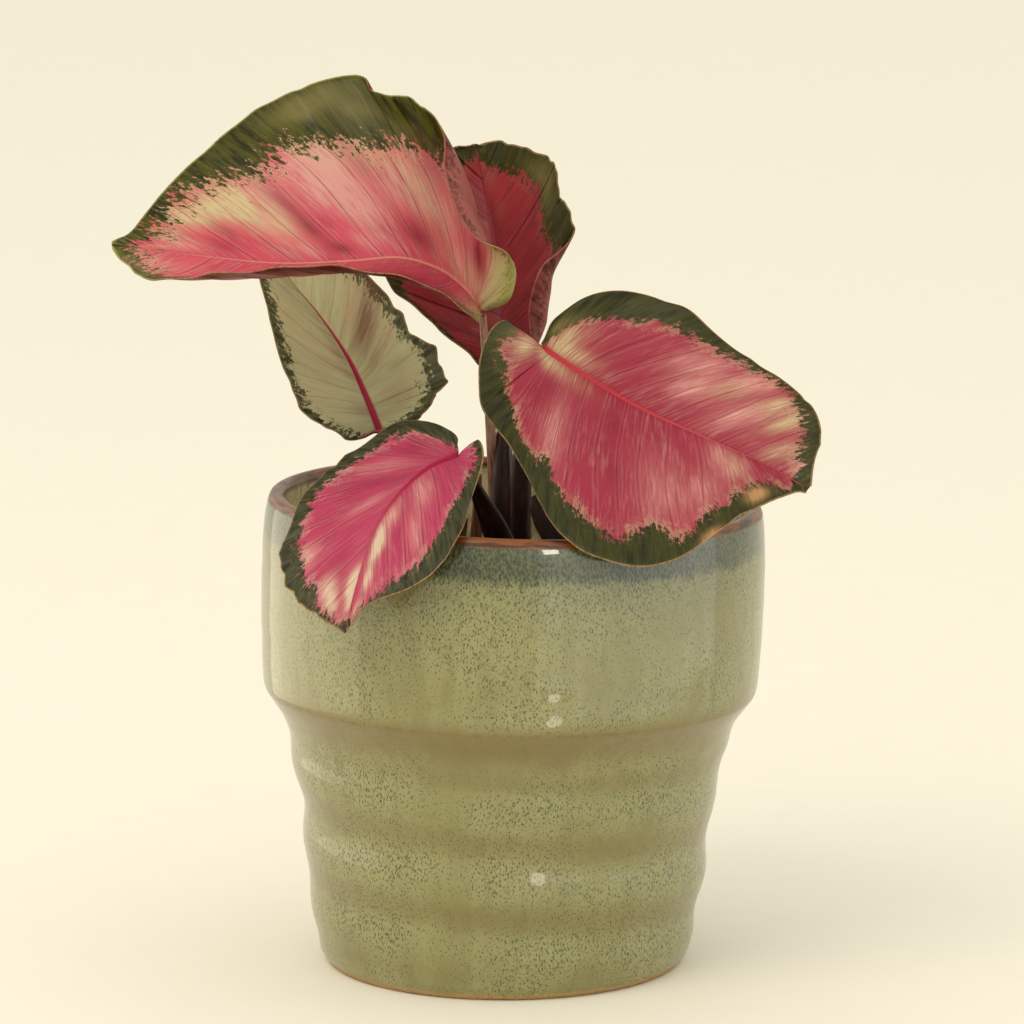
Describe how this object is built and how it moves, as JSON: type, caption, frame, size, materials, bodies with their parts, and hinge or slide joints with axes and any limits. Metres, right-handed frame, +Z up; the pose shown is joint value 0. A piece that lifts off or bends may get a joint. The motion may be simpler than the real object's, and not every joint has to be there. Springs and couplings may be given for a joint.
{
  "type": "potted rosy calathea",
  "caption": "Young rose and green patterned foliage plant in a dark grower's pot, standing in a speckled sage glazed stoneware cover pot with a shoulder and soft throwing rings.",
  "frame": {"origin": "middle of the cover pot's flat base, on the surface it stands on", "axes": "+Z up, the front with the two rose leaves that hang over the rim towards -Y, +X to the right seen from the front"},
  "size_m": [0.1944, 0.1511, 0.254],
  "materials": {
    "glaze": "glossy reactive sage green glaze with dark speckles, bare copper-brown lip",
    "grower_plastic": "thin dark moulded plastic",
    "soil": "damp peat and fine bark potting soil",
    "rose_leaf": "satin rose blade with cream streaks and a ragged dark green margin, mauve below",
    "burgundy_leaf": "satin burgundy blade with a dark green margin, mauve below",
    "silver_leaf": "satin silver-green blade with a red midrib and a dark green margin",
    "pink_stalk": "smooth pinkish tan stalk",
    "dark_stalk": "smooth purple-black sheathed stalk",
    "dry_sheath": "dry papery brown sheath"
  },
  "bodies": {
    "root": {"cover_pot": "glaze", "grower_pot": "grower_plastic", "soil": "soil", "leaf_1": "rose_leaf", "leaf_2": "burgundy_leaf", "leaf_3": "rose_leaf", "leaf_4": "silver_leaf", "leaf_5": "rose_leaf", "petiole_1": "pink_stalk", "petiole_2": "dark_stalk", "petiole_3": "dark_stalk", "petiole_4": "pink_stalk", "petiole_5": "dark_stalk", "side_shoot": "dark_stalk", "dry_sheath_1": "dry_sheath", "dry_sheath_2": "dry_sheath"}
  },
  "joints": []
}
